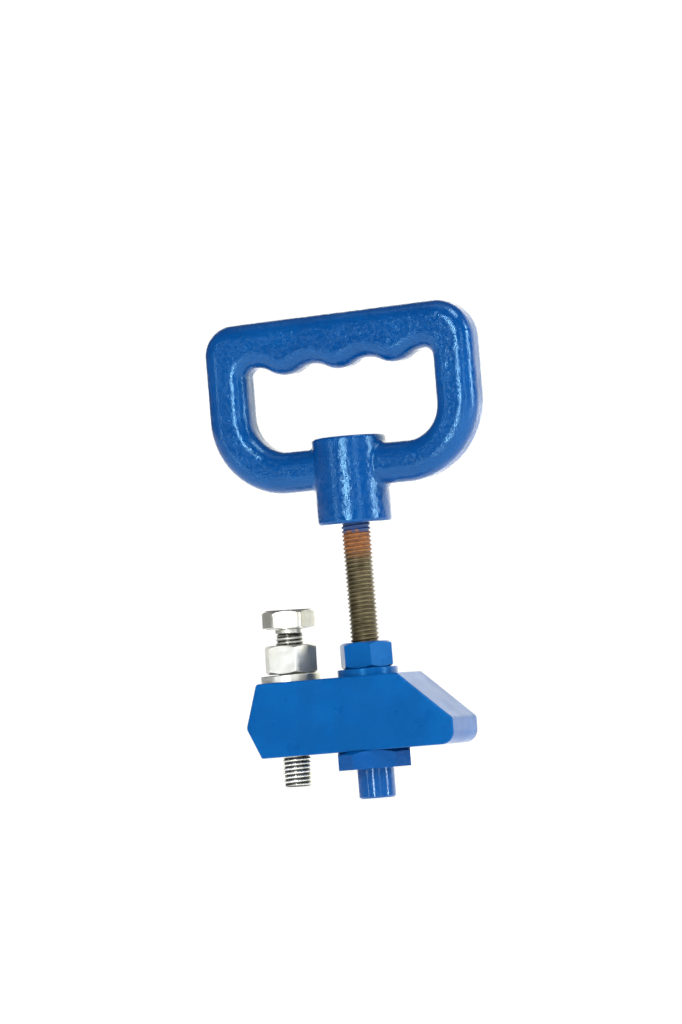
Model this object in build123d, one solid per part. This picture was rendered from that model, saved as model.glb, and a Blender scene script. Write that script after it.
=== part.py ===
from build123d import *
import math
import os

# Screw clamp with a D-handle: the screw runs down through a strap and pushes a swivelling foot.
# Millimetres. +Z is up along the screw, +X points to the strap's toe.
# The origin is the centre of the foot's end face with the foot fully drawn up.

# Inch screw thread, 5/8 in: the screws are plain cylinders of the thread's outside diameter.
THREAD_R = 15.875 / 2
THREAD_PITCH = 25.4 / 11
RUNNING_GAP = 0.05
NUT_FLATS = 26.4
WASHER_R = 33.3 / 2
WASHER_H = 3.9

# Pressure foot
NOSE_R = 10.4
NOSE_H = 16.4
NOSE_CHAMFER = 0.9
COLLAR_W = 39.7
COLLAR_CORNER = 8.0
COLLAR_H = 10.0
COLLAR_TURN = 20.0
JOURNAL_R = 5.5
JOURNAL_END_Z = 9.0
GROOVE_R = 4.2
GROOVE_H = 3.4
PIN_R = 1.5
PIN_LENGTH = 24.0

# Strap
STRAP_Z = NOSE_H + COLLAR_H
STRAP_H = 41.1
STRAP_T = 39.0
HEEL_X = -66.7
HEEL_CORNER_X = -59.0
HEEL_POINT_H = 17.0
TOE_X = 54.3
TOE_SLOPE_X = 24.0
TOE_SLOPE_DROP = 27.0
TOE_ROUND = 7.5
EDGE_BREAK = 0.9
BOLT_X = -45.5
BOLT_HOLE_R = 17.46 / 2
# The heel bolt and its nut lean this many degrees towards the toe in the loose hole.
BOLT_LEAN = 1.5

# Lock nut and heel bolt
LOCK_NUT_H = 14.4
HEEL_NUT_H = 16.0
BOLT_STICK_OUT = 16.8
BOLT_HEAD_GAP = 9.4
BOLT_HEAD_H = 9.9
BOLT_HEAD_TURN = 14.0
BOLT_NECK_R = 7.8
BOLT_NECK_H = 3.2

# Handle
SCREW_SHOWN = 65.2
BOSS_R = 20.5
BOSS_H = 48.0
BOSS_DEPTH = 38.0
BAR_ABOVE_BOSS_END = 20.0
BAR_H = 22.8
HANDLE_W = 158.0
OPENING_W = 110.0
OPENING_H = 47.3
GRIP_H = 26.5
# The grip bar rises this many degrees towards +X.
GRIP_TILT = 1.0
HUMP_PITCH = 32.0
HUMP_SLOPE = 30.0
GRIP_RAMP = 3.0
GRIP_END_R = 14.0
HANDLE_T = 23.5
HANDLE_ROUND = 9.0
JOIN_ROUND = 2.5
TOP_ROUNDS = (17.0, 22.0)
BOTTOM_ROUNDS = (42.5, 45.0)
OPENING_ROUNDS = (21.0, 19.0)

STRAP_TOP_Z = STRAP_Z + STRAP_H
# The leaning nut rests on its washer at one corner.
LEAN_LIFT = 0.6 * NUT_FLATS * math.sin(math.radians(BOLT_LEAN))
BOSS_Z = STRAP_TOP_Z + WASHER_H + LOCK_NUT_H + SCREW_SHOWN
BAR_Z = BOSS_Z + BAR_ABOVE_BOSS_END
OPENING_Z = BAR_Z + BAR_H
GRIP_Z = OPENING_Z + OPENING_H
HANDLE_TOP_Z = GRIP_Z + GRIP_H


def rod(radius, low, high, x=0.0):
    """A vertical cylinder between two heights."""
    return Pos(x, 0, low) * Cylinder(radius, high - low, align=(Align.CENTER, Align.CENTER, Align.MIN))


def turned(points, x=0.0):
    """A solid of revolution about a vertical axis, from (radius, height) points."""
    outline = Plane.XZ * make_face(Polyline(*points, close=True))
    return Pos(x, 0, 0) * revolve(outline, Axis.Z)


def hexagon(flats, low, high, turn=0.0, bottom_cut=True):
    """A hex prism with a flat towards -Y, its corners cut at 30 degrees above and below."""
    corner = flats / math.sqrt(3)
    face_r = 0.95 * flats / 2
    cut = (corner - face_r) * math.tan(math.radians(30))
    prism = Pos(0, 0, low) * extrude(RegularPolygon(corner, 6), high - low)
    below = [(face_r, low), (corner, low + cut)] if bottom_cut else [(corner, low)]
    cone = turned([(0, low), *below, (corner, high - cut), (face_r, high), (0, high)])
    return Rot(0, 0, turn) * (prism & cone)


def nearest(shape, x, z):
    """The vertex of an upright outline that lies nearest to a point."""
    return min(shape.vertices(), key=lambda v: math.hypot(v.X - x, v.Z - z))


def with_rounds(outline, rounds):
    """Rounds an upright outline's corners, each given as (x, z, radius)."""
    for x, z, radius in rounds:
        outline = fillet(nearest(outline, x, z), radius)
    return outline


def upright(outline, thickness):
    """An outline in the XZ plane made into a solid centred on that plane."""
    return extrude(outline, amount=thickness / 2, both=True)


def make_strap():
    slope_end_z = STRAP_TOP_Z - TOE_SLOPE_DROP
    heel_z = STRAP_Z + HEEL_POINT_H
    outline = Plane.XZ * make_face(
        Polyline(
            (HEEL_CORNER_X, STRAP_Z),
            (TOE_X, STRAP_Z),
            (TOE_X, slope_end_z),
            (TOE_SLOPE_X, STRAP_TOP_Z),
            (HEEL_CORNER_X, STRAP_TOP_Z),
            (HEEL_X, heel_z),
            close=True,
        )
    )
    outline = with_rounds(
        outline,
        [
            (TOE_X, STRAP_Z, TOE_ROUND),
            (TOE_X, slope_end_z, 3.0),
            (TOE_SLOPE_X, STRAP_TOP_Z, 1.5),
            (HEEL_CORNER_X, STRAP_TOP_Z, 2.0),
            (HEEL_CORNER_X, STRAP_Z, 1.0),
            (HEEL_X, heel_z, 4.0),
        ],
    )
    block = upright(outline, STRAP_T)
    sides = block.faces().filter_by(Axis.Y)
    block = fillet(sides.edges(), EDGE_BREAK)
    block -= rod(THREAD_R + RUNNING_GAP, STRAP_Z - 1, STRAP_TOP_Z + 1)
    block -= rod(BOLT_HOLE_R, STRAP_Z - 1, STRAP_TOP_Z + 1, BOLT_X)
    return block


def make_washer(x):
    """A thick washer on the strap's top, its upper edge slightly rounded."""
    low = STRAP_TOP_Z
    high = low + WASHER_H
    ring = rod(WASHER_R, low, high, x)
    ring = fillet(ring.edges().group_by(Axis.Z)[-1], 0.6)
    return ring - rod(BOLT_HOLE_R, low - 1, high + 1, x)


def leaning(shape):
    """The heel bolt's place: on its hole's axis, leaning about the strap's mid-height."""
    middle = STRAP_Z + STRAP_H / 2
    return Pos(BOLT_X, 0, middle) * Rot(0, BOLT_LEAN, 0) * Pos(0, 0, -middle) * shape


def make_nut(height, lift=0.0):
    low = STRAP_TOP_Z + WASHER_H + lift
    nut = hexagon(NUT_FLATS, low, low + height)
    return nut - rod(THREAD_R + RUNNING_GAP, low - 1, low + height + 1)


def make_heel_bolt():
    end_z = STRAP_Z - BOLT_STICK_OUT
    nut_top_z = STRAP_TOP_Z + WASHER_H + LEAN_LIFT + HEEL_NUT_H
    head_z = nut_top_z + BOLT_HEAD_GAP
    chamfer_h = 1.4
    shank = turned(
        [
            (0, end_z),
            (THREAD_R - chamfer_h, end_z),
            (THREAD_R, end_z + chamfer_h),
            (THREAD_R, head_z - BOLT_NECK_H),
            (BOLT_NECK_R, head_z - BOLT_NECK_H),
            (BOLT_NECK_R, head_z),
            (0, head_z),
        ]
    )
    head = hexagon(NUT_FLATS, head_z, head_z + BOLT_HEAD_H, BOLT_HEAD_TURN, bottom_cut=False)
    washer_face = rod(0.48 * NUT_FLATS, head_z - 0.5, head_z)
    return leaning(shank + washer_face + head)


def make_screw():
    """The clamping screw: a plain stand-in for its thread, and a journal with a pin groove."""
    top_z = BOSS_Z + BOSS_DEPTH
    shoulder_z = STRAP_Z
    groove_z = shoulder_z - COLLAR_H / 2
    return turned(
        [
            (0, JOURNAL_END_Z),
            (JOURNAL_R - 1.5, JOURNAL_END_Z),
            (JOURNAL_R, JOURNAL_END_Z + 1.5),
            (JOURNAL_R, groove_z - GROOVE_H / 2),
            (GROOVE_R, groove_z - GROOVE_H / 2),
            (GROOVE_R, groove_z + GROOVE_H / 2),
            (JOURNAL_R, groove_z + GROOVE_H / 2),
            (JOURNAL_R, shoulder_z),
            (THREAD_R - 1.0, shoulder_z),
            (THREAD_R, shoulder_z + 1.0),
            (THREAD_R, top_z),
            (0, top_z),
        ]
    )


def foot_pin_place():
    """Where the foot's pin lies: beside the screw's axis, square to the collar's middle flat."""
    pin_x = GROOVE_R + PIN_R + 0.1
    pin_z = STRAP_Z - COLLAR_H / 2
    pin_mid = COLLAR_W / 2 - PIN_LENGTH / 2
    return Rot(0, 0, COLLAR_TURN) * Pos(pin_x, pin_mid, pin_z) * Rot(90, 0, 0)


def make_collar():
    """A square block with its four corners cut off and its upper rim turned to 30 degrees."""
    half = COLLAR_W / 2
    block = Pos(0, 0, NOSE_H + COLLAR_H / 2) * Box(COLLAR_W, COLLAR_W, COLLAR_H)
    block = chamfer(block.edges().filter_by(Axis.Z), COLLAR_CORNER)
    corner = math.hypot(half, half - COLLAR_CORNER)
    cut = (corner - half) * math.tan(math.radians(30))
    rim = [(0, NOSE_H), (corner, NOSE_H), (corner, STRAP_Z - cut), (half, STRAP_Z), (0, STRAP_Z)]
    return Rot(0, 0, COLLAR_TURN) * (block & turned(rim))


def make_pressure_foot():
    foot = make_collar()
    nose = rod(NOSE_R, 0, NOSE_H)
    nose = chamfer(nose.edges().group_by(Axis.Z)[0], NOSE_CHAMFER)
    foot += nose
    foot -= rod(JOURNAL_R + RUNNING_GAP, JOURNAL_END_Z - RUNNING_GAP, STRAP_Z + 1)
    foot -= foot_pin_place() * Cylinder(PIN_R, PIN_LENGTH)
    return foot


def make_foot_pin():
    pin = foot_pin_place() * Cylinder(PIN_R, PIN_LENGTH)
    return pin - foot_pin_place() * Cylinder(0.6 * PIN_R, PIN_LENGTH)


def handle_opening():
    """The finger opening: round corners and a wavy top with humps between the fingers."""
    half = OPENING_W / 2
    slope = math.radians(HUMP_SLOPE)
    wave_r = HUMP_PITCH / (4 * math.sin(slope))
    ramp_z = GRIP_Z - wave_r * (1 - math.cos(slope))
    end_z = ramp_z + GRIP_RAMP * math.sin(slope) + GRIP_END_R * (1 - math.cos(slope))
    end_x = 1.25 * HUMP_PITCH + GRIP_RAMP * math.cos(slope) + GRIP_END_R * math.sin(slope)
    corner_r = half - end_x
    side_z = end_z - corner_r - half * math.sin(math.radians(GRIP_TILT))

    turns = [(corner_r, GRIP_TILT - 90), (GRIP_END_R, -HUMP_SLOPE), (GRIP_RAMP, 0)]
    turns += [(wave_r, 2 * HUMP_SLOPE), (wave_r, -2 * HUMP_SLOPE)] * 2
    turns += [(wave_r, 2 * HUMP_SLOPE), (GRIP_RAMP, 0), (GRIP_END_R, -HUMP_SLOPE)]
    turns += [(corner_r, -90 - GRIP_TILT)]
    edges = []
    place, heading = Vector(-half, side_z), Vector(0, 1)
    for size, turn in turns:
        if turn:
            edge = JernArc(place, heading, size, turn)
        else:
            edge = Line(place, place + heading.normalized() * size)
        edges.append(edge)
        place, heading = edge @ 1, edge % 1

    corners = [place, (place.X, OPENING_Z), (-half, OPENING_Z), (-half, side_z)]
    outline = Plane.XZ * make_face(Curve() + edges + Polyline(*corners))
    left, right = OPENING_ROUNDS
    return with_rounds(outline, [(-half, OPENING_Z, left), (half, OPENING_Z, right)])


def make_handle():
    """One casting: a D-shaped ring of round bar with a boss in the middle of its lower bar."""
    half = HANDLE_W / 2
    rise = half * math.tan(math.radians(GRIP_TILT))
    left_top, right_top = HANDLE_TOP_Z - rise, HANDLE_TOP_Z + rise
    outline = Plane.XZ * make_face(
        Polyline((-half, BAR_Z), (half, BAR_Z), (half, right_top), (-half, left_top), close=True)
    )
    outline = with_rounds(
        outline,
        [
            (-half, left_top, TOP_ROUNDS[0]),
            (half, right_top, TOP_ROUNDS[1]),
            (-half, BAR_Z, BOTTOM_ROUNDS[0]),
            (half, BAR_Z, BOTTOM_ROUNDS[1]),
        ],
    )
    ring = upright(outline - handle_opening(), HANDLE_T)
    sides = ring.faces().filter_by(Axis.Y)
    ring = fillet(sides.edges(), HANDLE_ROUND)
    boss = rod(BOSS_R, BOSS_Z, BOSS_Z + BOSS_H)
    boss = fillet(boss.edges().filter_by(GeomType.CIRCLE), 1.8)
    casting = ring + boss
    casting = fillet(new_edges(ring, boss, combined=casting), JOIN_ROUND)
    return casting - rod(THREAD_R, BOSS_Z - 1, BOSS_Z + BOSS_DEPTH)


NODES = {
    "strap": make_strap,
    "heel_washer": lambda: make_washer(BOLT_X),
    "heel_nut": lambda: leaning(make_nut(HEEL_NUT_H, LEAN_LIFT)),
    "heel_bolt": make_heel_bolt,
    "lock_washer": lambda: make_washer(0.0),
    "lock_nut": lambda: make_nut(LOCK_NUT_H),
    "pressure_foot": make_pressure_foot,
    "foot_pin": make_foot_pin,
    "clamping_screw": make_screw,
    "handle": make_handle,
}

os.makedirs("parts", exist_ok=True)
for name, make in NODES.items():
    export_step(make(), f"parts/{name}.step")
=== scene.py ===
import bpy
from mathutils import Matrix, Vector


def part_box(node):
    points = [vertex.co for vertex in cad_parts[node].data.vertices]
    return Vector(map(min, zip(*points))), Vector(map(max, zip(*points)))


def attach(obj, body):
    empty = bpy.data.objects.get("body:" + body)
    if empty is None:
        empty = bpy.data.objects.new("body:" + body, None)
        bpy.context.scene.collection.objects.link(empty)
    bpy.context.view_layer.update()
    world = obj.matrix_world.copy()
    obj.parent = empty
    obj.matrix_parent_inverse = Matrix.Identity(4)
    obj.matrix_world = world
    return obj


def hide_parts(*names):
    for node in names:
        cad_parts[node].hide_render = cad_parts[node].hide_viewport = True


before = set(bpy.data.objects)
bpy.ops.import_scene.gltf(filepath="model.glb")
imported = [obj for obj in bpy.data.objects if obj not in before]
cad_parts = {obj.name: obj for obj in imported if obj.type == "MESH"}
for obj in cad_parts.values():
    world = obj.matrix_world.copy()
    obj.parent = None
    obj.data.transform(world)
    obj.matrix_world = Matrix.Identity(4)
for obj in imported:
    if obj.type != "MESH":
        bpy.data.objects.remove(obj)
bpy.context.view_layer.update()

import math

import bmesh
import bpy
from mathutils import Matrix, Vector

# Screw clamp with a D-handle. Metres, in the CAD frame: +Z is up the screw and +X is towards
# the strap's toe. MM turns millimetres into metres.
MM = 0.001
THREAD_R = 7.9375 * MM
PITCH = 25.4 / 11 * MM
THREAD_DEPTH = 0.40 * PITCH
# Both threads are cut back to this radius at their ends.
THREAD_END_R = THREAD_R - 1.6 * MM
# Sides of a turned surface.
AROUND = 64
WELD = 1e-6

STRAP_Z, STRAP_TOP_Z = (corner[2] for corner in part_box("strap"))
SCREW_END_Z, SCREW_TOP_Z = (corner[2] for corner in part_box("clamping_screw"))
SHOULDER_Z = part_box("pressure_foot")[1][2]
BOSS_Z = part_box("handle")[0][2]

# Heel bolt: where it stands, how far it leans towards the toe, and its lengths.
BOLT_X = -45.5 * MM
BOLT_LEAN = math.radians(1.5)
BOLT_STICK_OUT = 16.8 * MM
BOLT_HEAD_ABOVE_STRAP = (3.9 + 0.41 + 16.0 + 9.4) * MM
BOLT_HEAD_H = 9.9 * MM
BOLT_NECK_H = 3.2 * MM
BOLT_NECK_R = 7.8 * MM
BOLT_FLATS = 26.4 * MM
BOLT_HEAD_TURN = math.radians(30 + 14)

# The foot's lowest place is 55.4 mm below the origin.
FLOOR_Z = -62 * MM
MIDDLE = (0, 0, 0.14)


# ---------------------------------------------------------------- meshes
def mesh_object(name, bm):
    """Makes an object of a bmesh, smooth but for edges sharper than 35 degrees."""
    bmesh.ops.remove_doubles(bm, verts=bm.verts, dist=WELD)
    bmesh.ops.recalc_face_normals(bm, faces=bm.faces)
    mesh = bpy.data.meshes.new(name)
    bm.to_mesh(mesh)
    bm.free()
    for face in mesh.polygons:
        face.use_smooth = True
    mesh.set_sharp_from_angle(angle=math.radians(35))
    obj = bpy.data.objects.new(name, mesh)
    bpy.context.scene.collection.objects.link(obj)
    return obj


def add_thread(bm, low, high):
    """A right-hand thread between two heights, its crests and roots slightly rounded."""
    root_r = THREAD_R - THREAD_DEPTH
    near_root_r = root_r + 0.06 * THREAD_DEPTH
    near_crest_r = THREAD_R - 0.05 * THREAD_DEPTH
    # One turn as (share of the pitch, radius).
    profile = [
        (0.02, root_r),
        (0.23, root_r),
        (0.27, near_root_r),
        (0.54, near_crest_r),
        (0.585, THREAD_R),
        (0.665, THREAD_R),
        (0.71, near_crest_r),
        (0.98, near_root_r),
    ]
    turns = math.ceil((high - low) / PITCH) + 2
    rows = [(turn + at, r) for turn in range(-2, turns) for at, r in profile]
    grid = []
    for at, r in rows:
        ring = []
        for i in range(AROUND):
            angle = 2 * math.pi * i / AROUND
            z = low + PITCH * (at + i / AROUND)
            z = min(max(z, low), high)
            here = min(r, THREAD_END_R + min(z - low, high - z) * 1.2)
            ring.append(bm.verts.new((here * math.cos(angle), here * math.sin(angle), z)))
        grid.append(ring)
    step = len(profile)
    for j in range(len(rows) - 1):
        for i in range(AROUND - 1):
            bm.faces.new((grid[j][i], grid[j][i + 1], grid[j + 1][i + 1], grid[j + 1][i]))
        if j + 1 + step < len(rows):
            above = grid[j + step][0], grid[j + step + 1][0]
            bm.faces.new((grid[j][-1], *above, grid[j + 1][-1]))


def add_turned(bm, points):
    """A turned surface about the Z axis through (radius, height) points, closed at radius 0."""
    angles = [2 * math.pi * i / AROUND for i in range(AROUND)]
    rings = []
    for r, z in points:
        if r == 0:
            rings.append([bm.verts.new((0, 0, z))])
        else:
            rings.append([bm.verts.new((r * math.cos(a), r * math.sin(a), z)) for a in angles])
    for a, b in zip(rings, rings[1:]):
        for i in range(AROUND):
            j = (i + 1) % AROUND
            corners = [a[i % len(a)], a[j % len(a)], b[j % len(b)], b[i % len(b)]]
            corners = list(dict.fromkeys(corners))
            if len(corners) > 2:
                bm.faces.new(corners)


def hex_radius(flats, angle):
    """Distance from the axis to a hexagon's side, with a flat square to angle 0."""
    return flats / 2 / math.cos((angle + math.pi / 6) % (math.pi / 3) - math.pi / 6)


def add_hex_head(bm, flats, low, high, turn, inner_r):
    """A closed hex head with 30 degree chamfers above and soft edges."""
    steps = 12 * 6
    soft = 0.35 * MM
    face_r = 0.95 * flats / 2
    slope = math.tan(math.radians(30))
    rings = [[] for _ in range(7)]
    for i in range(steps):
        angle = 2 * math.pi * i / steps
        side = min(hex_radius(flats, angle), flats / math.sqrt(3) - soft)
        c, s = math.cos(angle + turn), math.sin(angle + turn)
        top = high - (side - face_r) * slope
        places = [
            (inner_r, low),
            (side - soft, low),
            (side, low + soft),
            (side, top - soft),
            (side - soft, top),
            (face_r - soft, high),
            (inner_r, high),
        ]
        for ring, (r, z) in zip(rings, places):
            ring.append(bm.verts.new((r * c, r * s, z)))
    for a, b in zip(rings, rings[1:]):
        for i in range(steps):
            j = (i + 1) % steps
            bm.faces.new((a[i], a[j], b[j], b[i]))
    bm.faces.new(rings[-1])
    bm.faces.new(rings[0])


# ---------------------------------------------------------------- materials
class Nodes:
    """Shorthand for building one material's node tree."""

    def __init__(self, name):
        self.material = bpy.data.materials.new(name)
        self.material.use_nodes = True
        self.tree = self.material.node_tree
        self.shader = self.tree.nodes["Principled BSDF"]
        self.place = self.add("ShaderNodeTexCoord").outputs["Object"]

    def add(self, kind, **values):
        node = self.tree.nodes.new(kind)
        for key, value in values.items():
            setattr(node, key, value)
        return node

    def link(self, source, target):
        self.tree.links.new(source, target)

    def stretched(self, scale):
        node = self.add("ShaderNodeMapping")
        node.inputs["Scale"].default_value = scale
        self.link(self.place, node.inputs["Vector"])
        return node.outputs["Vector"]

    def noise(self, scale, detail=3, roughness=0.5, place=None):
        node = self.add("ShaderNodeTexNoise")
        node.inputs["Scale"].default_value = scale
        node.inputs["Detail"].default_value = detail
        node.inputs["Roughness"].default_value = roughness
        self.link(place or self.place, node.inputs["Vector"])
        return node.outputs["Fac"]

    def cells(self, scale):
        node = self.add("ShaderNodeTexVoronoi")
        node.inputs["Scale"].default_value = scale
        self.link(self.place, node.inputs["Vector"])
        return node.outputs["Distance"]

    def remap(self, value, low, high, to_low, to_high, smooth=False):
        node = self.add("ShaderNodeMapRange")
        if smooth:
            node.interpolation_type = "SMOOTHSTEP"
        numbers = {"From Min": low, "From Max": high, "To Min": to_low, "To Max": to_high}
        for key, number in numbers.items():
            node.inputs[key].default_value = number
        self.link(value, node.inputs["Value"])
        return node.outputs["Result"]

    def math(self, operation, a, b):
        node = self.add("ShaderNodeMath", operation=operation)
        for socket, value in zip(node.inputs, (a, b)):
            if isinstance(value, (int, float)):
                socket.default_value = value
            else:
                self.link(value, socket)
        return node.outputs["Value"]

    def mix(self, factor, a, b):
        node = self.add("ShaderNodeMix", data_type="RGBA")
        self.link(factor, node.inputs["Factor"])
        for key, value in (("A_Color", a), ("B_Color", b)):
            socket = next(s for s in node.inputs if s.identifier == key)
            if isinstance(value, tuple):
                socket.default_value = (*value, 1.0)
            else:
                self.link(value, socket)
        return next(s for s in node.outputs if s.identifier == "Result_Color")

    def bump(self, height, strength, distance, before=None):
        node = self.add("ShaderNodeBump")
        node.inputs["Strength"].default_value = strength
        node.inputs["Distance"].default_value = distance
        self.link(height, node.inputs["Height"])
        if before:
            self.link(before, node.inputs["Normal"])
        return node.outputs["Normal"]

    def set(self, **values):
        for key, value in values.items():
            socket = self.shader.inputs[key.replace("_", " ")]
            if isinstance(value, bpy.types.NodeSocket):
                self.link(value, socket)
            elif isinstance(value, tuple):
                socket.default_value = (*value, 1.0)
            else:
                socket.default_value = value

    def height(self):
        node = self.add("ShaderNodeSeparateXYZ")
        self.link(self.place, node.inputs["Vector"])
        return node.outputs["Z"]


BLUE = (0.0003, 0.045, 0.178)
BLUE_DEEP = (0.0002, 0.040, 0.160)
BLUE_PALE = (0.0004, 0.051, 0.194)
CAST_BLUE = (0.0003, 0.038, 0.155)
CAST_BLUE_DEEP = (0.0002, 0.031, 0.135)
SMEARED_BLUE = (0.001, 0.026, 0.105)


def satin_paint():
    """Sprayed satin enamel on machined steel: faint clouding and orange peel."""
    n = Nodes("satin_blue_paint")
    clouds = n.remap(n.noise(38, 4, 0.6), 0.35, 0.68, 0, 1, True)
    colour = n.mix(clouds, BLUE_DEEP, BLUE_PALE)
    specks = n.remap(n.noise(900, 1), 0.70, 0.78, 0, 0.5, True)
    colour = n.mix(specks, colour, (0.003, 0.10, 0.33))
    rough = n.remap(n.noise(60, 3), 0.3, 0.7, 0.26, 0.36)
    peel = n.bump(n.noise(420, 2), 0.10, 0.0006)
    runs = n.bump(n.noise(70, 2), 0.12, 0.0015, peel)
    n.set(Base_Color=colour, Roughness=rough, Normal=runs)
    n.set(Specular_IOR_Level=0.32, Specular_Tint=(0.1, 0.55, 1.0))
    return n.material


def gloss_paint():
    """Glossy enamel on a turned round nose: long fine streaks down the axis."""
    n = Nodes("streaked_blue_paint")
    clouds = n.remap(n.noise(60, 3), 0.35, 0.68, 0, 1, True)
    colour = n.mix(clouds, BLUE_DEEP, BLUE)
    streaks = n.noise(1.0, 3, 0.7, n.stretched((900, 900, 60)))
    rough = n.remap(streaks, 0.3, 0.7, 0.06, 0.16)
    peel = n.bump(n.noise(420, 2), 0.10, 0.0006)
    n.set(
        Base_Color=colour,
        Roughness=rough,
        Normal=n.bump(streaks, 0.12, 0.0003, peel),
        Specular_IOR_Level=0.35,
        Specular_Tint=(0.6, 0.82, 1.0),
    )
    return n.material


def cast_paint():
    """Thick glossy enamel over a rough casting: dull grain with bright specks, lumps and pits."""
    n = Nodes("cast_blue_paint")
    clouds = n.remap(n.noise(45, 4, 0.6), 0.35, 0.68, 0, 1, True)
    colour = n.mix(clouds, CAST_BLUE_DEEP, CAST_BLUE)
    pits = n.remap(n.cells(420), 0.0, 0.25, 1, 0, True)
    patches = n.remap(n.noise(90, 2), 0.50, 0.62, 0, 1, True)
    pits = n.math("MULTIPLY", pits, patches)
    specks = n.remap(n.noise(430, 3, 0.65), 0.48, 0.55, 0, 1, True)
    rough = n.remap(specks, 0, 1, 0.24, 0.07)
    lumps = n.bump(n.noise(95, 2, 0.5), 0.30, 0.0022)
    grain = n.bump(n.noise(600, 3, 0.6), 0.36, 0.0005, lumps)
    n.set(
        Base_Color=colour,
        Roughness=rough,
        Normal=n.bump(pits, 0.35, 0.0005, grain),
        Specular_IOR_Level=0.45,
        Specular_Tint=(0.35, 0.75, 1.0),
    )
    return n.material


def thread_depth(n):
    """0 at a thread's crests and 1 in its roots, about the object's own Z axis: the mask for
    painted shade in the roots.
    """
    flat = n.add("ShaderNodeVectorMath", operation="MULTIPLY")
    flat.inputs[1].default_value = (1, 1, 0)
    n.link(n.place, flat.inputs[0])
    length = n.add("ShaderNodeVectorMath", operation="LENGTH")
    n.link(flat.outputs["Vector"], length.inputs[0])
    radius = length.outputs["Value"]
    return n.remap(radius, THREAD_R - 0.2 * MM, THREAD_R - THREAD_DEPTH, 0, 1, True)


def zinc_plate():
    """Bright zinc plating with a faint yellow-green chromate tint and fine tumbling marks."""
    n = Nodes("zinc_plate")
    tint = n.remap(n.noise(55, 3), 0.4, 0.7, 0, 1, True)
    colour = n.mix(tint, (0.45, 0.46, 0.44), (0.40, 0.40, 0.345))
    grime = n.remap(n.noise(300, 4, 0.7), 0.56, 0.80, 0, 0.35, True)
    colour = n.mix(grime, colour, (0.30, 0.30, 0.27))
    rough = n.remap(n.noise(220, 3), 0.3, 0.7, 0.30, 0.42)
    n.set(
        Base_Color=colour,
        Metallic=0.92,
        Roughness=rough,
        Normal=n.bump(n.noise(800, 3), 0.14, 0.0004),
    )
    return n.material


def zinc_thread():
    """The same plating on a thread, with painted shade darkening it into the roots."""
    n = Nodes("zinc_thread")
    depth = thread_depth(n)
    tint = n.remap(n.noise(80, 3), 0.4, 0.7, 0, 1, True)
    colour = n.mix(tint, (0.62, 0.63, 0.60), (0.50, 0.49, 0.38))
    # Painted shade: the plating colour goes nearly black towards the thread roots.
    colour = n.mix(depth, colour, (0.035, 0.035, 0.030))
    n.set(
        Base_Color=colour,
        Metallic=0.85,
        Roughness=n.remap(n.noise(300, 3), 0.3, 0.7, 0.22, 0.42),
        Normal=n.bump(n.noise(900, 3), 0.2, 0.0004),
    )
    return n.material


def oily_thread():
    """The clamping screw: oily olive-brown steel, rusty below the handle, with a smear of paint and
    painted shade in the thread roots.
    """
    n = Nodes("oily_rusty_steel")
    wobble = n.remap(n.noise(260, 3), 0.2, 0.8, -2.5 * MM, 2.5 * MM)
    z = n.math("ADD", n.height(), wobble)
    depth = thread_depth(n)
    blotches = n.remap(n.noise(140, 4, 0.6), 0.35, 0.65, 0, 1)
    oil = n.mix(blotches, (0.055, 0.044, 0.020), (0.135, 0.112, 0.058))
    # Painted shade: the oil colour darkens towards the thread roots.
    oil = n.mix(n.math("MULTIPLY", depth, 0.8), oil, (0.030, 0.024, 0.012))
    crumbs = n.remap(n.noise(400, 4, 0.7), 0.35, 0.65, 0, 1)
    rust = n.mix(crumbs, (0.105, 0.034, 0.007), (0.25, 0.092, 0.018))
    # Painted shade: the rust colour darkens towards the thread roots.
    rust = n.mix(n.math("MULTIPLY", depth, 0.6), rust, (0.06, 0.020, 0.006))
    rusty = n.remap(z, BOSS_Z - 22 * MM, BOSS_Z - 12 * MM, 0, 1, True)
    colour = n.mix(rusty, oil, rust)
    painted = n.remap(z, BOSS_Z - 4.6 * MM, BOSS_Z - 3.2 * MM, 0, 1, True)
    colour = n.mix(painted, colour, SMEARED_BLUE)
    bare = n.math("SUBTRACT", 1, painted)
    metal = n.math("MULTIPLY", bare, n.remap(rusty, 0, 1, 0.75, 0.25))
    n.set(
        Base_Color=colour,
        Metallic=metal,
        Roughness=n.remap(rusty, 0, 1, 0.34, 0.62),
        Normal=n.bump(n.noise(900, 4, 0.7), 0.35, 0.0004),
    )
    return n.material


def paint(obj, material):
    """Gives an object one material everywhere."""
    obj.data.materials.clear()
    obj.data.materials.append(material)


# ---------------------------------------------------------------- pieces
def make_screw(material):
    """The clamping screw with its real thread, and the turned journal that the foot hangs on."""
    journal_r, groove_r = 5.5 * MM, 4.2 * MM
    groove_low, groove_high = SHOULDER_Z - 6.7 * MM, SHOULDER_Z - 3.3 * MM
    end_z = SCREW_END_Z
    bm = bmesh.new()
    add_thread(bm, SHOULDER_Z, SCREW_TOP_Z)
    add_turned(
        bm,
        [
            (0, end_z),
            (journal_r - 1.5 * MM, end_z),
            (journal_r - 0.4 * MM, end_z + 0.9 * MM),
            (journal_r, end_z + 1.5 * MM),
            (journal_r, groove_low),
            (groove_r, groove_low),
            (groove_r, groove_high),
            (journal_r, groove_high),
            (journal_r, SHOULDER_Z),
            (THREAD_END_R, SHOULDER_Z),
        ],
    )
    add_turned(bm, [(THREAD_END_R, SCREW_TOP_Z), (0, SCREW_TOP_Z)])
    obj = mesh_object("screw_thread", bm)
    paint(obj, material)
    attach(obj, "spindle")
    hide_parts("clamping_screw")


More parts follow.
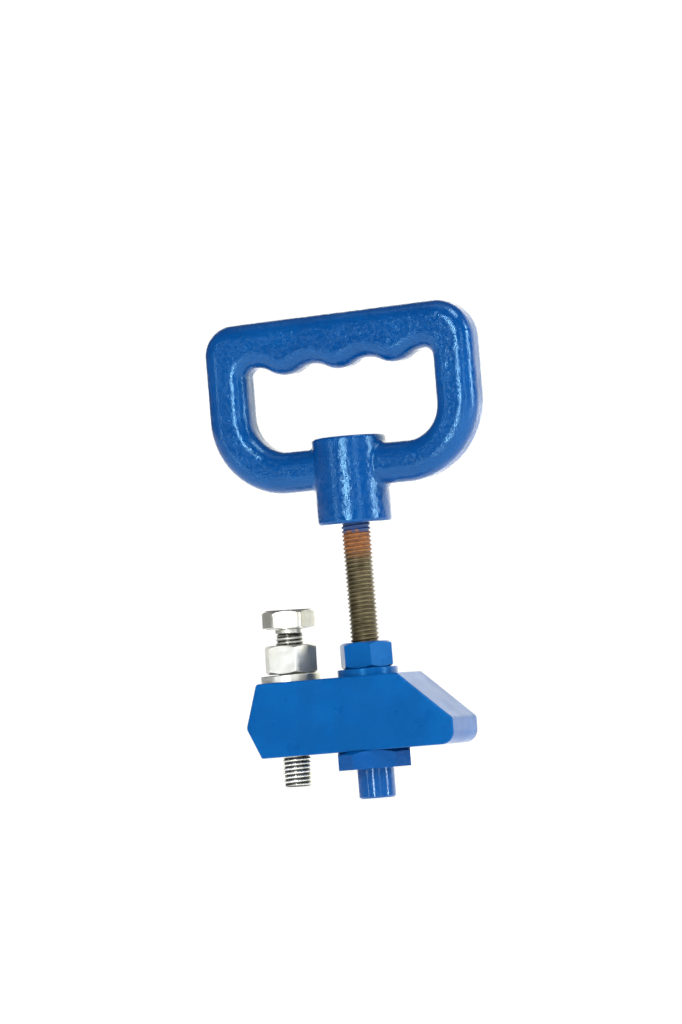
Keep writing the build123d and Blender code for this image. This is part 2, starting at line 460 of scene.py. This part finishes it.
def make_heel_bolt(plate, thread):
    """The heel bolt, leaning in its hole: head with a washer face, plain neck, threaded shank."""
    middle = (STRAP_Z + STRAP_TOP_Z) / 2
    end_z = STRAP_Z - BOLT_STICK_OUT
    head_z = STRAP_TOP_Z + BOLT_HEAD_ABOVE_STRAP
    neck_z = head_z - BOLT_NECK_H

    bm = bmesh.new()
    add_thread(bm, end_z, neck_z)
    add_turned(bm, [(0, end_z), (THREAD_END_R, end_z)])
    add_turned(bm, [(THREAD_END_R, neck_z), (0, neck_z)])
    shank = mesh_object("bolt_thread", bm)
    paint(shank, thread)

    bm = bmesh.new()
    face_r = 0.48 * BOLT_FLATS
    add_turned(
        bm,
        [
            (0, neck_z),
            (BOLT_NECK_R - 0.6 * MM, neck_z),
            (BOLT_NECK_R, neck_z + 0.5 * MM),
            (BOLT_NECK_R, head_z - 1.0 * MM),
            (BOLT_NECK_R + 0.5 * MM, head_z - 0.5 * MM),
            (face_r - 0.2 * MM, head_z - 0.5 * MM),
            (face_r, head_z - 0.3 * MM),
            (face_r, head_z + 0.2 * MM),
            (0, head_z + 0.2 * MM),
        ],
    )
    add_hex_head(bm, BOLT_FLATS, head_z, head_z + BOLT_HEAD_H, BOLT_HEAD_TURN, face_r)
    head = mesh_object("bolt_head", bm)
    paint(head, plate)

    lean = Matrix.Rotation(BOLT_LEAN, 4, "Y") @ Matrix.Translation((0, 0, -middle))
    for piece in (shank, head):
        piece.matrix_world = Matrix.Translation((BOLT_X, 0, middle)) @ lean
        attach(piece, "heel_bolt")
        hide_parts("heel_bolt")


def soften(obj, width):
    """Rounds the sharp edges of a CAD piece a little."""
    bevel = obj.modifiers.new("edge_round", "BEVEL")
    bevel.width = width
    bevel.segments = 3
    bevel.limit_method = "ANGLE"
    bevel.angle_limit = math.radians(25)
    bevel.harden_normals = True


# ---------------------------------------------------------------- stage, light and camera
def make_floor():
    """A wide pale floor, just below the lowest place that the foot can reach."""
    bm = bmesh.new()
    bmesh.ops.create_circle(bm, cap_ends=True, radius=14, segments=96)
    floor = mesh_object("floor", bm)
    n = Nodes("pale_floor")
    n.set(
        Base_Color=n.mix(n.noise(3, 2), (0.86, 0.86, 0.86), (0.90, 0.90, 0.90)),
        Roughness=0.9,
        Specular_IOR_Level=0.1,
        Emission_Color=(1.0, 1.0, 1.0),
        Emission_Strength=0.86,
    )
    paint(floor, n.material)
    floor.location.z = FLOOR_Z


def around(azimuth, elevation):
    """The way out to an azimuth and elevation; azimuth 0 is towards -Y and 90 towards +X."""
    a, e = math.radians(azimuth), math.radians(elevation)
    return Vector((math.sin(a) * math.cos(e), -math.cos(a) * math.cos(e), math.sin(e)))


def area_light(name, way, distance, size, power, colour=(1, 1, 1)):
    """A soft box at a distance from the clamp's middle, turned towards it and not seen itself."""
    light = bpy.data.lights.new(name, "AREA")
    light.shape = "RECTANGLE"
    light.size, light.size_y = size
    light.energy = power
    light.color = colour
    obj = bpy.data.objects.new(name, light)
    bpy.context.scene.collection.objects.link(obj)
    obj.location = Vector(MIDDLE) + way * distance
    obj.rotation_euler = (-way).to_track_quat("-Z", "Y").to_euler()
    obj.visible_camera = False


def make_light():
    """A white surround that lights the clamp only weakly, strip lights and a wall of light."""
    world = bpy.data.worlds.new("studio")
    world.use_nodes = True
    tree = world.node_tree
    back = tree.nodes["Background"]
    path = tree.nodes.new("ShaderNodeLightPath")
    strength = tree.nodes.new("ShaderNodeMapRange")
    strength.inputs["To Min"].default_value = 0.16
    strength.inputs["To Max"].default_value = 1.05
    tree.links.new(path.outputs["Is Camera Ray"], strength.inputs["Value"])
    tree.links.new(strength.outputs["Result"], back.inputs["Strength"])
    back.inputs["Color"].default_value = (1, 1, 1, 1)
    bpy.context.scene.world = world
    area_light("strip_front", around(1, 10), 1.5, (0.15, 1.1), 25)
    area_light("strip_edge", around(39, 6), 1.5, (0.04, 0.7), 2)
    area_light("box_above", around(60, 61), 1.5, (0.45, 0.45), 9)
    area_light("strip_right", around(88, 14), 1.5, (0.2, 1.1), 22)
    area_light("strip_left", around(-36, 6), 1.5, (0.04, 0.7), 2)
    area_light("top", around(10, 82), 1.6, (1.2, 0.7), 3)
    area_light("back_wall", around(174, 12), 1.6, (3.8, 1.7), 44, (1.0, 0.98, 0.88))


def make_camera():
    """At the photograph's angle, from far away with a long lens."""
    azimuth, elevation, roll = 21.25, -2.06, math.radians(-4.715)
    distance = 1.0 / 0.3
    pixels_per_metre, image_height = 1820, 1024
    sensor_height = 36.0
    back = around(azimuth, elevation)
    right = around(azimuth + 90, 0)
    up = back.cross(right)
    target = Vector((0, 0, 0.134)) + right * -0.00744 + up * 0.02403
    x = right * math.cos(roll) + up * math.sin(roll)
    y = up * math.cos(roll) - right * math.sin(roll)
    turn = Matrix((x, y, back)).transposed().to_4x4()
    data = bpy.data.cameras.new("camera")
    data.sensor_fit = "VERTICAL"
    data.sensor_height = sensor_height
    data.lens = sensor_height * pixels_per_metre * distance / image_height
    data.clip_end = 60
    camera = bpy.data.objects.new("camera", data)
    camera.matrix_world = Matrix.Translation(target + back * distance) @ turn
    bpy.context.scene.collection.objects.link(camera)
    bpy.context.scene.camera = camera


SATIN = satin_paint()
CAST = cast_paint()
GLOSS = gloss_paint()
ZINC = zinc_plate()
FINISHES = {
    "strap": SATIN,
    "lock_nut": SATIN,
    "lock_washer": SATIN,
    "pressure_foot": GLOSS,
    "handle": CAST,
    "heel_nut": ZINC,
    "heel_washer": ZINC,
    "foot_pin": ZINC,
}
for name, material in FINISHES.items():
    paint(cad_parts[name], material)
for name, width in {"lock_nut": 0.3, "heel_nut": 0.35, "pressure_foot": 0.3}.items():
    soften(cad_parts[name], width * MM)
make_screw(oily_thread())
make_heel_bolt(ZINC, zinc_thread())
make_floor()
make_light()
make_camera()
bpy.context.scene.view_settings.view_transform = "Standard"

bpy.context.view_layer.update()
